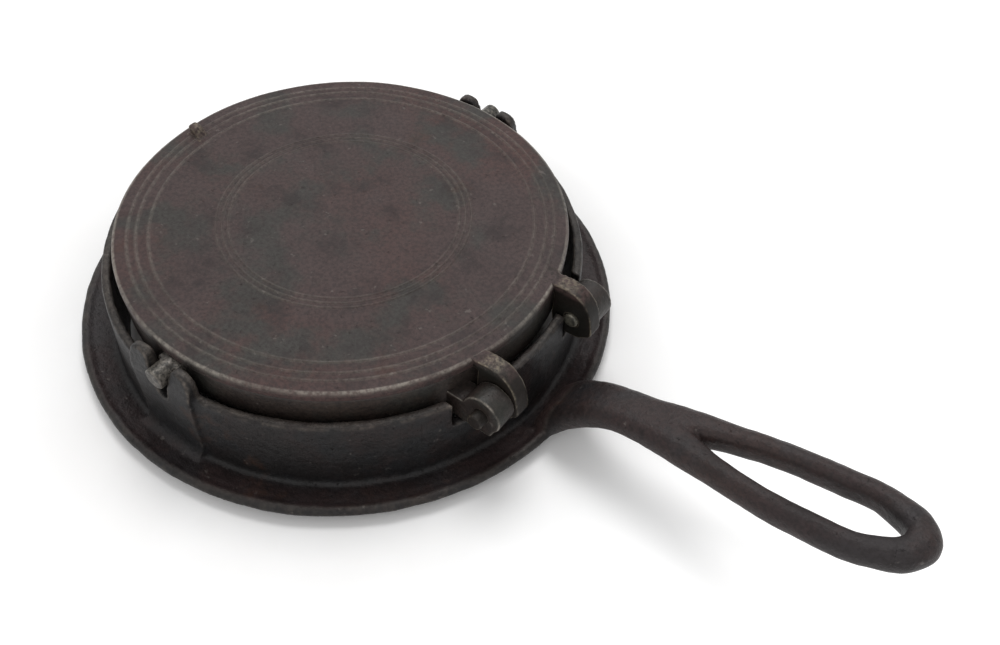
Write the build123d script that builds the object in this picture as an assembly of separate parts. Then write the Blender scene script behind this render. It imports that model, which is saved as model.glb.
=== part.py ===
from build123d import *
import math
import os

# Stovetop waffle iron in cast iron: a ring base with a loop handle carries two hinged waffle plates,
# which open like a book and turn over together on two trunnions.
# Millimetres, +Z up. The origin is on the axis of the ring, level with its foot.
# The handle points along +X. The hinge pins and the trunnions lie along Y.

# Waffle plates
plate_radius = 95.0
seam_height = 47.0              # top of the lower plate's rim
seam_gap = 0.3
lower_plate_depth = 16.0        # from the seam to the underside
upper_plate_thickness = 4.5     # from the seam to the top face
upper_rim_setback = 0.3         # how far the upper rim lies inside the lower one
rim_width = 4.5                 # flat land where the plates meet
pan_draft = 1.5                 # how much narrower the pan is at its floor
plate_skin = 3.5                # metal behind the studs
seam_edge = 1.2                 # chamfer of both rims at the seam
top_edge = 1.6                  # chamfer of the upper plate's top edge
under_edge = 2.4                # chamfer of the lower plate's underside

# Waffle studs
stud_pitch = 13.5
stud_base = 7.5
stud_height = 6.0
stud_taper = 8.0                # degrees on each flank
stud_margin = 5.0               # least distance from a stud to the rim land

# Ring ornament on the upper plate: distance of each ring from the rim
outer_rings = (5.7, 9.3, 14.3)
inner_rings = (41.3, 43.8, 46.3)
ring_width = 1.3
ring_relief = 0.45

# Ring base
ring_clearance = 3.5            # air between the plates and the wall
wall_thickness = 4.1
wall_height = 39.5
wall_draft = 1.3                # how much thicker the wall is at its foot
wall_edge = 1.0                 # chamfer of the wall's two top edges
flange_width = 14.1             # from the wall to the middle of the rim bead
flange_thickness = 3.2
flange_rise = 6.0               # height of the middle of the rim bead
bead_radius = 2.3
bead_sides = 8                  # the bead is a ring of that many flats
foot_top = 4.4                  # upper face of the flange at the wall
root_edge = 2.2                 # chamfer between the wall and the flange
lip_radius = 106.0              # round lip that drops into the eye of the stove
lip_depth = 2.5
shoulder_width = 4.0            # flat shoulder that lies on the stove around its eye

# Forks and trunnions
trunnion_height = 43.5
trunnion_radius = 4.5
trunnion_clearance = 0.3
trunnion_proud = 1.5            # how far the trunnion's end stands out of its fork
collar_radius = 6.0
collar_side_gap = 0.5
journal_root = 0.15             # how far the trunnion starts inside the plate's rim
fork_depth = 5.7
fork_half_width = 16.2
fork_height = 51.8
prong_lean = 2.2                # how far the prongs' outer faces lean in at their tops
slot_angle = 14.0               # degrees by which each flank of the slot leans outward
slot_root_radius = 2.3
prong_edge = 3.0

# Hinge
hinge_standoff = 8.0            # from the plate's rim to the pin axis
hinge_drop = 9.5                # from the seam down to the pin axis
pin_radius = 3.2
pin_running_fit = 0.05
pin_knuckle_fit = 0.02
pin_proud_inner = 1.2
pin_proud_outer = 3.5
pin_edge = 0.8
arm_inner = 21.9                # distance of the arm's inner face from the middle
arm_thickness = 7.1
arm_crown = 1.0                 # how far the arm's crest rises over the top face
arm_foot = 9.4                  # from the pin axis down to the arm's flat foot
arm_swing_gap = 0.9             # air between the arm's rounded heel and the pan as the lid swings
beak_reach = 10.6               # the arm's lower front corner, ahead of the pin axis
beak_drop = 6.0                 # and below it
knuckle_gap = 0.4
knuckle_thickness = 9.8
knuckle_radius = 8.6
knuckle_foot = 10.1             # from the pin axis down to the knuckle's flat foot
knuckle_toe = 4.5               # how far that foot reaches ahead of the pin axis
knuckle_neck = 1.5              # how far the top of its neck lies above the pin axis
beak_rest_gap = 0.5             # air between the sweep of the beak and the notch floor
knuckle_rest_gap = 0.4          # air under the knuckle's foot
notch_side_gap = 0.6

# Lift lug on the side opposite the hinge
lug_offset = -2.5               # how far its middle lies off the centre line
lug_width = 6.0
lug_root_inner = 13.0           # from the plate's rim to the near end of its root
lug_root_outer = 8.0
lug_tip = 3.5                   # from the plate's rim to its tip
lug_height = 3.2

# Loop handle: points of its middle line as distance beyond the rim bead and height, the last past its tip
handle_line = ((-4.7, 4.8), (8.3, 21.4), (18.3, 28.9), (43.3, 36.4), (73.3, 41.4), (103.3, 46.1), (153.3, 56.5))
handle_thickness = 11.6
handle_end = 143.3
handle_root_half = 12.8
handle_flank = ((28.3, 9.2), (101.3, 16.7), (126.3, 14.9))     # distance beyond the bead, half width
loop_start = 60.8
loop_end = 131.3
loop_flank = ((73.3, 5.2), (88.3, 7.7), (103.3, 8.4), (125.3, 6.2))
handle_edge = 3.0
loop_edge = 1.9

# Sizes that follow from those above
wall_inner = plate_radius + ring_clearance
wall_outer = wall_inner + wall_thickness
bead_middle = wall_outer + flange_width
flange_radius = bead_middle + bead_radius
fork_face = wall_inner + fork_depth
seat_radius = trunnion_radius + trunnion_clearance
upper_bottom = seam_height + seam_gap
upper_top = upper_bottom + upper_plate_thickness
upper_radius = plate_radius - upper_rim_setback
lower_bottom = seam_height - lower_plate_depth
lower_floor = lower_bottom + plate_skin
upper_ceiling = upper_top - plate_skin
hinge_x = plate_radius + hinge_standoff
hinge_z = seam_height - hinge_drop
arm_crest = upper_top + arm_crown
arm_outer = arm_inner + arm_thickness
arm_back = hinge_x - math.sqrt(plate_radius**2 - arm_inner**2) - arm_swing_gap
beak_sweep = math.hypot(beak_reach, beak_drop)
knuckle_inner = arm_outer + knuckle_gap
knuckle_outer = knuckle_inner + knuckle_thickness


def side_face(points):
    """Return a face in the XZ plane from corner points."""
    return Plane.XZ * make_face(Polyline(*points, close=True))


def slab(face, near, far):
    """Extrude a face of the XZ plane so that it fills Y from near to far."""
    return Pos(0, far, 0) * extrude(face, amount=far - near)


def rod(x, z, radius, near, far):
    """Return a cylinder along Y that fills from near to far."""
    return slab(Plane.XZ * (Pos(x, z) * Circle(radius)), near, far)


def block_above(x, near, far, floor):
    """Return a block that cuts through the wall near x, from the height floor upward."""
    length = 4 * wall_thickness + 2 * ring_clearance
    return Pos(x, (near + far) / 2, floor + wall_height / 2) * Box(length, far - near, wall_height)


def both_sides(solid):
    """Return a solid and its mirror image across the XZ plane."""
    return solid + mirror(solid, about=Plane.XZ)


def ring_section():
    """Return the section of the wall, stove lip, flange and rim bead."""
    wall_foot = wall_outer + wall_draft
    outline = Polyline(
        (wall_inner, wall_height),
        (wall_outer, wall_height),
        (wall_foot, foot_top),
        (bead_middle, flange_rise + flange_thickness / 2),
        (bead_middle, flange_rise - flange_thickness / 2),
        (lip_radius + shoulder_width, lip_depth),
        (lip_radius, lip_depth),
        (lip_radius, 0),
        (wall_inner + wall_draft, 0),
        close=True,
    )
    section = make_face(outline)
    corner = section.vertices().sort_by_distance((wall_foot, foot_top))[0]
    section = chamfer(corner, root_edge)
    lips = section.vertices().sort_by(Axis.Y)[-2:]
    section = chamfer(lips, wall_edge)
    bead = RegularPolygon(bead_radius, bead_sides, major_radius=False, rotation=180 / bead_sides)
    return section + Pos(bead_middle, flange_rise) * bead


def fork_slot():
    """Return the tapered slot of a fork, with a round root and flanks that clear the trunnion."""
    lean = math.radians(slot_angle)
    root_height = trunnion_height - (seat_radius - slot_root_radius) / math.sin(lean)
    mouth_half = seat_radius / math.cos(lean) + (fork_height - trunnion_height) * math.tan(lean)
    root_half = slot_root_radius * math.cos(lean)
    root_side = root_height - slot_root_radius * math.sin(lean)
    flanks = make_face(Polyline(
        (-root_half, root_side),
        (-mouth_half, fork_height),
        (mouth_half, fork_height),
        (root_half, root_side),
        close=True,
    ))
    return flanks + Pos(0, root_height) * Circle(slot_root_radius)


def fork():
    """Return one fork with its open slot, at +Y."""
    blank = Pos(0, fork_height / 2) * Rectangle(2 * fork_half_width, fork_height)
    blank -= fork_slot()
    tips = blank.vertices().filter_by_position(Axis.Y, fork_height, fork_height)
    blank = fillet(tips, prong_edge)
    solid = slab(Plane.XZ * blank, wall_inner - fork_depth, fork_face)
    lean = Plane.YZ * make_face(Polyline(
        (fork_face, wall_height),
        (fork_face + prong_lean, wall_height),
        (fork_face + prong_lean, fork_height),
        (fork_face - prong_lean, fork_height),
        close=True,
    ))
    solid -= extrude(lean, amount=2 * fork_half_width, both=True)
    beside_lip = Pos(0, 0, lip_depth / 2) * Cylinder(2 * fork_face, lip_depth)
    return solid - Cylinder(wall_inner, 3 * fork_height) - beside_lip


def hinge_notch():
    """Return the stepped cut in the wall that takes an arm and its knuckle, at +Y."""
    step = arm_outer + 0.75 * knuckle_gap
    near = arm_inner - pin_proud_inner - notch_side_gap
    far = knuckle_outer + pin_proud_outer + notch_side_gap
    under_arm = block_above(wall_inner, near, step, hinge_z - beak_sweep - beak_rest_gap)
    under_knuckle = block_above(wall_inner, step, far, hinge_z - knuckle_foot - knuckle_rest_gap)
    return under_arm + under_knuckle


def turned_notch():
    """Return the cut that takes an arm when the plates lie turned over, at +Y."""
    floor = 2 * trunnion_height - arm_crest - knuckle_rest_gap
    return block_above(-wall_inner, arm_inner - notch_side_gap, arm_outer + notch_side_gap, floor)


def long_rims(solid, near, far, inside):
    """Return the edges of a hole through the handle, or with inside False its outer edges."""
    rims = solid.edges().filter_by(lambda edge: edge.length > 3 * handle_thickness)
    middle = (near + far) / 2
    in_hole = rims.filter_by(
        lambda edge: edge.length < 1.3 * (far - near) and abs(edge.position_at(0.5).X - middle) < (far - near) / 2
    )
    return in_hole if inside else rims


def beyond_bead(points):
    """Return points whose first value is measured from the middle of the rim bead."""
    return [(bead_middle + reach, value) for reach, value in points]


def handle():
    """Return the loop handle, from inside the rim bead to its tip."""
    middle = Spline(*beyond_bead(handle_line))
    band = Plane.XZ * trace(middle, line_width=handle_thickness)
    bow_half = max(half for reach, half in handle_flank)
    arch = extrude(band, amount=2 * bow_half, both=True)
    tall = 2 * handle_line[-1][1]

    start = bead_middle + handle_line[0][0] - handle_thickness
    tip = bead_middle + handle_end
    flank = Spline(
        (start, handle_root_half), *beyond_bead(handle_flank), (tip, 0), tangents=((1, 0), (0, -1))
    )
    back = Line((start, 0), (start, handle_root_half))
    half = make_face([back, flank, Line((tip, 0), (start, 0))])
    bar = arch & extrude(half + mirror(half, about=Plane.XZ), amount=tall)
    bar = chamfer(long_rims(bar, start, tip, False), handle_edge)

    near = bead_middle + loop_start
    far = bead_middle + loop_end
    hole_flank = Spline((near, 0), *beyond_bead(loop_flank), (far, 0), tangents=((0, 1), (0, -1)))
    half_hole = make_face([hole_flank, Line((far, 0), (near, 0))])
    bar -= extrude(half_hole + mirror(half_hole, about=Plane.XZ), amount=tall)
    return chamfer(long_rims(bar, near, far, True), loop_edge)


def ring_base():
    """Return the casting that stands on the stove."""
    body = revolve(Plane.XZ * ring_section(), axis=Axis.Z)
    body += both_sides(fork())
    body -= slab(Plane.XZ * fork_slot(), -2 * fork_face, 2 * fork_face)
    body -= both_sides(hinge_notch())
    body -= both_sides(turned_notch())
    hollow = Cylinder(wall_inner + wall_draft, wall_height)
    body += handle() - hollow
    return body


def stud_places():
    """Return the middles of the studs: a square grid that leaves a channel along both axes."""
    reach = plate_radius - rim_width - pan_draft - stud_margin
    count = int(reach / stud_pitch) + 1
    steps = [(i + 0.5) * stud_pitch for i in range(-count, count)]
    corner = stud_base / 2
    return [
        (x, y) for x in steps for y in steps
        if math.hypot(abs(x) + corner, abs(y) + corner) < reach + stud_margin / 2
    ]


def studs():
    """Return all studs of one plate, standing on the XY plane."""
    grid = Sketch() + [Pos(x, y) * Rectangle(stud_base, stud_base) for x, y in stud_places()]
    return extrude(grid, amount=stud_height, taper=stud_taper)


def knuckle():
    """Return one hinge knuckle of the lower plate with its tongue and flat foot, at +Y."""
    root = plate_radius - 3 * rim_width
    tongue = make_face(Polyline(
        (root, hinge_z + knuckle_neck),
        (hinge_x, hinge_z + knuckle_neck),
        (hinge_x + knuckle_radius, hinge_z),
        (hinge_x + knuckle_toe, hinge_z - knuckle_foot),
        (plate_radius - rim_width, hinge_z - knuckle_foot),
        (root, lower_bottom + plate_skin),
        close=True,
    ))
    shape = tongue + Pos(hinge_x, hinge_z) * Circle(knuckle_radius)
    return slab(Plane.XZ * shape, knuckle_inner, knuckle_outer)


def lower_plate():
    """Return the pan with its studs, trunnions and knuckles."""
    outline = Polyline(
        (0, lower_bottom), (plate_radius, lower_bottom), (plate_radius, seam_height), (0, seam_height), close=True
    )
    section = make_face(outline)
    rim = section.vertices().sort_by_distance((plate_radius, seam_height))[0]
    section = chamfer(rim, seam_edge)
    foot = section.vertices().sort_by_distance((plate_radius, lower_bottom))[0]
    section = chamfer(foot, under_edge)
    plate = revolve(Plane.XZ * section, axis=Axis.Z)
    plate += both_sides(knuckle())

    land = plate_radius - rim_width
    pan = side_face([(0, lower_floor), (land - pan_draft, lower_floor), (land, seam_height + 1), (0, seam_height + 1)])
    plate -= revolve(pan, axis=Axis.Z)
    plate += Pos(0, 0, lower_floor) * studs()

    journal = rod(0, trunnion_height, trunnion_radius, plate_radius - journal_root, fork_face + trunnion_proud)
    collar = rod(0, trunnion_height, collar_radius, plate_radius - rim_width / 2, wall_inner - collar_side_gap)
    above_seam = Pos(0, 0, seam_height + wall_height / 2) * Box(4 * collar_radius, 3 * plate_radius, wall_height)
    plate += both_sides(journal)
    plate += both_sides(collar) - above_seam
    bore = rod(hinge_x, hinge_z, pin_radius + pin_knuckle_fit, knuckle_inner - 1, knuckle_outer + 1)
    return plate - both_sides(bore)


def arm():
    """Return one hinge arm of the upper plate, with its crest, beak and flat foot, at +Y."""
    beak_x = hinge_x + beak_reach
    beak_z = hinge_z - beak_drop
    foot_z = hinge_z - arm_foot
    front = Spline(
        (hinge_x - arm_back / 2, arm_crest),
        (hinge_x + 0.65 * beak_reach, hinge_z + 0.65 * (arm_crest - hinge_z)),
        (beak_x, beak_z),
        tangents=((1, 0), (0.1, -1)),
    )
    root = plate_radius - 2 * rim_width
    sides = Polyline(
        (beak_x, beak_z),
        (hinge_x + beak_reach / 3, foot_z),
        (hinge_x - arm_back, foot_z),
        (hinge_x - arm_back, upper_bottom),
        (root, upper_bottom + upper_plate_thickness / 2),
        (root, upper_top),
        (hinge_x - arm_back / 2, arm_crest),
    )
    shape = make_face([front, sides])
    heel = Pos(hinge_x - arm_back, hinge_z - arm_foot) * Rectangle(2 * arm_back, 2 * arm_foot)
    shape -= heel - Pos(hinge_x, hinge_z) * Circle(arm_back)
    return slab(Plane.XZ * shape, arm_inner, arm_outer)


def lift_lug():
    """Return the small lug by which the upper plate is lifted open."""
    tip = lug_tip - plate_radius
    inner = lug_root_inner - plate_radius
    outer = lug_root_outer - plate_radius
    sunk = upper_top - upper_plate_thickness / 4
    shape = side_face([
        (inner, sunk),
        (inner, upper_top),
        (tip + lug_height / 3, upper_top + lug_height),
        (tip, upper_top + 0.7 * lug_height),
        (outer, upper_top),
        (outer, sunk),
    ])
    return slab(shape, lug_offset - lug_width / 2, lug_offset + lug_width / 2)


def ornament_ring(setback):
    """Return one raised ring of the top face, by its distance from the rim."""
    radius = plate_radius - setback
    half = ring_width / 2
    return revolve(side_face([
        (radius - half, upper_top - ring_relief),
        (radius - half, upper_top),
        (radius, upper_top + ring_relief),
        (radius + half, upper_top),
        (radius + half, upper_top - ring_relief),
    ]), axis=Axis.Z)


def upper_plate():
    """Return the lid plate with its studs, rings, hinge arms and lift lug."""
    outline = Polyline(
        (0, upper_bottom), (upper_radius, upper_bottom), (upper_radius, upper_top), (0, upper_top), close=True
    )
    section = make_face(outline)
    rim = section.vertices().sort_by_distance((upper_radius, upper_bottom))[0]
    section = chamfer(rim, seam_edge)
    top = section.vertices().sort_by_distance((upper_radius, upper_top))[0]
    section = chamfer(top, top_edge)
    plate = revolve(Plane.XZ * section, axis=Axis.Z)
    for setback in outer_rings + inner_rings:
        plate += ornament_ring(setback)
    plate += both_sides(arm())
    plate += lift_lug()

    land = plate_radius - rim_width
    recess = side_face([
        (0, upper_ceiling), (land - pan_draft, upper_ceiling), (land, upper_bottom - 1), (0, upper_bottom - 1)
    ])
    plate -= revolve(recess, axis=Axis.Z)
    plate += Pos(0, 0, upper_ceiling) * mirror(studs(), about=Plane.XY)
    bore = rod(hinge_x, hinge_z, pin_radius + pin_running_fit, arm_inner - 1, arm_outer + 1)
    return plate - both_sides(bore)


def hinge_pin(side):
    """Return the hinge pin of one side, with its two ends broken at the edge."""
    pin = rod(hinge_x, hinge_z, pin_radius, arm_inner - pin_proud_inner, knuckle_outer + pin_proud_outer)
    pin = chamfer(pin.edges().filter_by(GeomType.CIRCLE), pin_edge)
    return pin if side > 0 else mirror(pin, about=Plane.XZ)


pieces = {
    "ring_base": ring_base(),
    "lower_plate": lower_plate(),
    "upper_plate": upper_plate(),
    "hinge_pin_left": hinge_pin(-1),
    "hinge_pin_right": hinge_pin(1),
}

os.makedirs("parts", exist_ok=True)
for name, shape in pieces.items():
    export_step(shape, f"parts/{name}.step")
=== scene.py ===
"""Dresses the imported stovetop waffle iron: castings, worn finishes, a pale table and soft light."""
import bisect
import logging
import math
from dataclasses import dataclass, replace
from enum import Enum

import bmesh
import bpy
from mathutils import Matrix, Vector, noise


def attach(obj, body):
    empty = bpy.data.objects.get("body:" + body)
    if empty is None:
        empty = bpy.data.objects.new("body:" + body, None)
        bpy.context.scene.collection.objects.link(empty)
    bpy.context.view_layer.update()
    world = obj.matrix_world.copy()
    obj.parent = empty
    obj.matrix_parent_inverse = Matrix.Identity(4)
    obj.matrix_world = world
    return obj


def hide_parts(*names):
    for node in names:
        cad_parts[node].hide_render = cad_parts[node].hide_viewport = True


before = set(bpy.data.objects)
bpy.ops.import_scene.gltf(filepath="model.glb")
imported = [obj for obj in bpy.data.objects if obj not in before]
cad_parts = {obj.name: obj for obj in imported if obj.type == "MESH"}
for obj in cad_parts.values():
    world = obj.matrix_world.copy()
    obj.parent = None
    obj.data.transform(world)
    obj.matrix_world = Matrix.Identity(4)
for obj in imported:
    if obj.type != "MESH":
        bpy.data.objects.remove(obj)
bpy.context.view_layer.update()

LOG = logging.getLogger("waffle_iron")
MM = 0.001
SHARP = 0.5
UP = (0, 0, 1)
QUARTER = math.pi / 2
Outline = list[tuple[float, float]]
Layers = tuple[tuple[float, float], ...]
Triple = tuple[float, float, float]
Mesh = bmesh.types.BMesh
Object = bpy.types.Object
Socket = bpy.types.NodeSocket
Tree = bpy.types.NodeTree
Outputs = bpy.types.NodeOutputs
Material = bpy.types.Material


class Slot(Enum):
    """The record's material slots."""

    BASE = "base_iron"
    LOWER = "lower_iron"
    UPPER = "upper_iron"
    PIN = "pin_iron"


class Body(Enum):
    """The bodies that pieces ride on."""

    BASE = "base"
    LOWER = "lower"
    UPPER = "upper"


# Outlines

def rounded(corners: list[Triple], steps: int = 4) -> Outline:
    """Round the corners of a closed outline.

    Args:
        corners: Each corner's two coordinates and how far its rounding reaches along both sides.
        steps: Spans in each rounding.

    Returns:
        The points of the rounded outline.
    """
    points: Outline = []
    count = len(corners)
    for index, (x, y, reach) in enumerate(corners):
        if reach <= 0:
            points.append((x, y))
            continue
        here = Vector((x, y))
        before = Vector(corners[index - 1][:2])
        after = Vector(corners[(index + 1) % count][:2])
        start = here + (before - here).normalized() * reach
        end = here + (after - here).normalized() * reach
        for step in range(steps + 1):
            t = step / steps
            point = start * (1 - t) ** 2 + here * 2 * t * (1 - t) + end * t ** 2
            points.append((point.x, point.y))
    return points


def smooth_line(
    points: Outline, first: tuple[float, float], last: tuple[float, float], steps: int,
) -> Outline:
    """Run a smooth line through points.

    Args:
        points: The points to pass through.
        first: Direction at the first point.
        last: Direction at the last point.
        steps: Spans between two points.

    Returns:
        Points along the line, the ends included.
    """
    spots = [Vector(point) for point in points]
    slopes = [Vector(first).normalized()]
    for before, here, after in zip(spots, spots[1:], spots[2:]):
        near = (here - before).length
        far = (after - here).length
        slopes.append(((here - before) / near * far + (after - here) / far * near) / (near + far))
    slopes.append(Vector(last).normalized())
    line: Outline = []
    for index in range(len(spots) - 1):
        start, end = spots[index], spots[index + 1]
        span = (end - start).length
        for step in range(steps):
            t = step / steps
            point = (
                start * (2 * t ** 3 - 3 * t ** 2 + 1)
                + slopes[index] * span * (t ** 3 - 2 * t ** 2 + t)
                + end * (3 * t ** 2 - 2 * t ** 3)
                + slopes[index + 1] * span * (t ** 3 - t ** 2)
            )
            line.append((point.x, point.y))
    line.append(tuple(spots[-1]))
    return line


def spaced(outline: Outline, longest: float) -> Outline:
    """Add points to a closed outline so that no span is longer than a length.

    Args:
        outline: The closed outline.
        longest: The longest span that may stay.

    Returns:
        The outline with the added points.
    """
    points: Outline = []
    for (x0, y0), (x1, y1) in zip(outline, outline[1:] + outline[:1]):
        spans = max(1, math.ceil(math.hypot(x1 - x0, y1 - y0) / longest))
        for span in range(spans):
            t = span / spans
            points.append((x0 + (x1 - x0) * t, y0 + (y1 - y0) * t))
    return points


def circle(x: float, y: float, radius: float, count: int) -> Outline:
    """Return the points of a circle."""
    turns = [2 * math.pi * index / count for index in range(count)]
    return [(x + radius * math.cos(turn), y + radius * math.sin(turn)) for turn in turns]


# Meshes, in millimetres until they become a piece

def turned(mesh: Mesh, angle: float) -> Mesh:
    """Turn a mesh about the upright axis by an angle in radians."""
    bmesh.ops.rotate(mesh, verts=mesh.verts, cent=(0, 0, 0), matrix=Matrix.Rotation(angle, 3, "Z"))
    return mesh


def thickened(mesh: Mesh, push: Triple) -> Mesh:
    """Extrude the faces of a flat mesh into a closed one."""
    grown = bmesh.ops.extrude_face_region(mesh, geom=mesh.faces[:], use_keep_orig=True)
    moved = [part for part in grown["geom"] if isinstance(part, bmesh.types.BMVert)]
    bmesh.ops.translate(mesh, verts=moved, vec=push)
    bmesh.ops.recalc_face_normals(mesh, faces=mesh.faces)
    return mesh


def sliced(mesh: Mesh, place: Triple, normal: Triple, clear: bool = False) -> None:
    """Cut edges into a mesh along a plane, and clear what lies beyond it if asked."""
    everything = mesh.verts[:] + mesh.edges[:] + mesh.faces[:]
    bmesh.ops.bisect_plane(mesh, geom=everything, plane_co=place, plane_no=normal, clear_outer=clear)


def bevelled(mesh: Mesh, edges: list, width: float, segments: int, clamp: bool) -> None:
    """Round some edges of a mesh."""
    bmesh.ops.bevel(
        mesh, geom=edges, offset=width, offset_type="OFFSET", segments=segments, profile=0.5,
        affect="EDGES", clamp_overlap=clamp, material=-1,
    )


def looped(mesh: Mesh, places: list[Triple]) -> tuple[list, list]:
    """Add a closed loop to a mesh and return its vertices and edges."""
    verts = [mesh.verts.new(place) for place in places]
    return verts, [mesh.edges.new(pair) for pair in zip(verts, verts[1:] + verts[:1])]


def spun(outline: Outline, steps: int, wedges: int = 12) -> Mesh:
    """Spin a closed outline of radius and height about the upright axis.

    Args:
        outline: Radius and height of each point.
        steps: Number of sides, a multiple of wedges.
        wedges: Number of equal wedges that are made from one spin.

    Returns:
        The closed mesh.
    """
    mesh = bmesh.new()
    verts, edges = looped(mesh, [(radius, 0, height) for radius, height in outline])
    wedge = 2 * math.pi / wedges
    bmesh.ops.spin(
        mesh, geom=verts + edges, cent=(0, 0, 0), axis=UP, dvec=(0, 0, 0),
        angle=wedge, steps=steps // wedges, use_merge=False, use_duplicate=False,
    )
    whole = joined([mesh] + [turned(mesh.copy(), wedge * index) for index in range(1, wedges)])
    bmesh.ops.remove_doubles(whole, verts=whole.verts, dist=1e-3)
    bmesh.ops.recalc_face_normals(whole, faces=whole.faces)
    return whole


def slab(outline: Outline, near: float, far: float) -> Mesh:
    """Extrude an outline of the XZ plane along Y.

    Args:
        outline: The X and Z of each point.
        near: Y of the first face.
        far: Y of the second face.

    Returns:
        The closed mesh.
    """
    mesh = bmesh.new()
    mesh.faces.new([mesh.verts.new((x, near, z)) for x, z in outline])
    return thickened(mesh, (0, far - near, 0))


def softened(mesh: Mesh, width: float, segments: int) -> Mesh:
    """Round every edge of a mesh that turns by more than about 30 degrees."""
    sharp = [edge for edge in mesh.edges if len(edge.link_faces) == 2 and edge.calc_face_angle(0) > SHARP]
    bevelled(mesh, sharp, width, segments, True)
    return mesh


def joined(meshes: list[Mesh]) -> Mesh:
    """Put several meshes into one and free them."""
    whole = bmesh.new()
    for mesh in meshes:
        part = bpy.data.meshes.new("part")
        mesh.to_mesh(part)
        mesh.free()
        whole.from_mesh(part)
        bpy.data.meshes.remove(part)
    return whole


def mirrored(mesh: Mesh) -> Mesh:
    """Return a mesh together with its mirror image across the XZ plane."""
    twin = mesh.copy()
    bmesh.ops.scale(twin, vec=(1, -1, 1), verts=twin.verts)
    bmesh.ops.reverse_faces(twin, faces=twin.faces)
    return joined([mesh, twin])


def shown(name: str, data: bpy.types.ID) -> Object:
    """Put a mesh, lamp or camera into the scene as an object."""
    made = bpy.data.objects.new(name, data)
    bpy.context.scene.collection.objects.link(made)
    return made


def piece(name: str, mesh: Mesh) -> Object:
    """Turn a mesh in millimetres into a smooth-shaded object in metres.

    Args:
        name: The object's name.
        mesh: The mesh, which is freed.

    Returns:
        The object, linked to the scene.
    """
    bmesh.ops.scale(mesh, vec=(MM, MM, MM), verts=mesh.verts)
    data = bpy.data.meshes.new(name)
    mesh.to_mesh(data)
    mesh.free()
    data.shade_smooth()
    return shown(name, data)


def settle(made: Object) -> None:
    """Apply all modifiers of an object to its mesh."""
    depsgraph = bpy.context.evaluated_depsgraph_get()
    data = bpy.data.meshes.new_from_object(made.evaluated_get(depsgraph))
    made.modifiers.clear()
    old = made.data
    made.data = data
    data.name = made.name
    data.shade_smooth()
    bpy.data.meshes.remove(old)


def cut(made: Object, cutter: Mesh) -> None:
    """Cut a mesh away from an object."""
    tool = piece(made.name + "_cutter", cutter)
    modifier = made.modifiers.new("cut", "BOOLEAN")
    modifier.operation = "DIFFERENCE"
    modifier.solver = "EXACT"
    modifier.object = tool
    settle(made)
    bpy.data.objects.remove(tool)


def cast(made: Object, grain: float, rounds: int, keep: float = 1.0) -> None:
    """Fuse the overlapping forms of an object into one casting with soft edges and roots.

    Args:
        made: The object, whose mesh holds the forms.
        grain: Size of the new faces in millimetres.
        rounds: How often the surface is relaxed.
        keep: Share of the faces that is kept at the end.
    """
    fuse = made.modifiers.new("fuse", "REMESH")
    fuse.mode = "VOXEL"
    fuse.voxel_size = grain * MM
    relax = made.modifiers.new("relax", "SMOOTH")
    relax.factor = 0.5
    relax.iterations = rounds
    if keep < 1:
        thin = made.modifiers.new("thin", "DECIMATE")
        thin.ratio = keep
    settle(made)


def roughened(made: Object, skin: Layers) -> None:
    """Give an object the slight waviness of sand-cast iron.

    Args:
        made: The object.
        skin: For each layer, its wave length and its height in millimetres.
    """
    apart = 7.3
    data = made.data
    starts = [vert.co.copy() for vert in data.vertices]
    normals = [vert.normal.copy() for vert in data.vertices]
    moved = []
    for start, normal in zip(starts, normals):
        push = sum(
            noise.noise(start / (length * MM) + Vector((apart * layer, 0, 0))) * height
            for layer, (length, height) in enumerate(skin)
        )
        moved.extend(start + normal * push * MM)
    data.vertices.foreach_set("co", moved)
    data.update()


# Materials

@dataclass(frozen=True)
class Mottle:
    """A noise pattern, and the two values between which it comes up from nothing to full."""

    scale: float
    detail: float
    rough: float
    low: float
    high: float


PITS = Mottle(420, 4, 0.65, 0.36, 0.27)
WORN_PATCHES = Mottle(190, 6, 0.7, 0.36, 0.64)
WARM_CLOUDS = Mottle(17, 3, 0.55, 0.42, 0.66)
COOL_CLOUDS = Mottle(34, 5, 0.6, 0.45, 0.62)
DARK_STAINS = Mottle(62, 6, 0.7, 0.49, 0.7)
DARK_SAND = Mottle(620, 4, 0.65, 0.38, 0.66)
PALE_SPOTS = Mottle(260, 3, 0.6, 0.66, 0.74)
RIDGE_BROAD = Mottle(24, 4, 0.6, 0.3, 0.62)
RIDGE_FINE = Mottle(520, 4, 0.7, 0.36, 0.62)
RUBBED_IRON = Mottle(650, 5, 0.7, 0.38, 0.68)
RUST_BLOOMS = Mottle(26, 6, 0.7, 0.6, 0.74)
PAINT_CLOUDS = Mottle(9, 5, 0.6, 0.35, 0.7)
SPOT_COLOUR = (0.20, 0.18, 0.165, 1)
RELIEF_LAYERS = ((1300, 3, 0.6, 0.22), (420, 3, 0.6, 0.42), (90, 2, 0.55, 0.9))
PIT_SHARE, PIT_DEPTH = 0.4, 0.6
EDGE_SPAN = 0.06
# Pointiness at which inward-curving creases start to darken, as soot and painted shade, and at which they are
# fully dark
SOOT_AND_SHADE_STARTS, SOOT_AND_SHADE_FULL = 0.47, 0.37
FLOAT, COLOR, VECTOR = "NodeSocketFloat", "NodeSocketColor", "NodeSocketVector"


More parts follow.
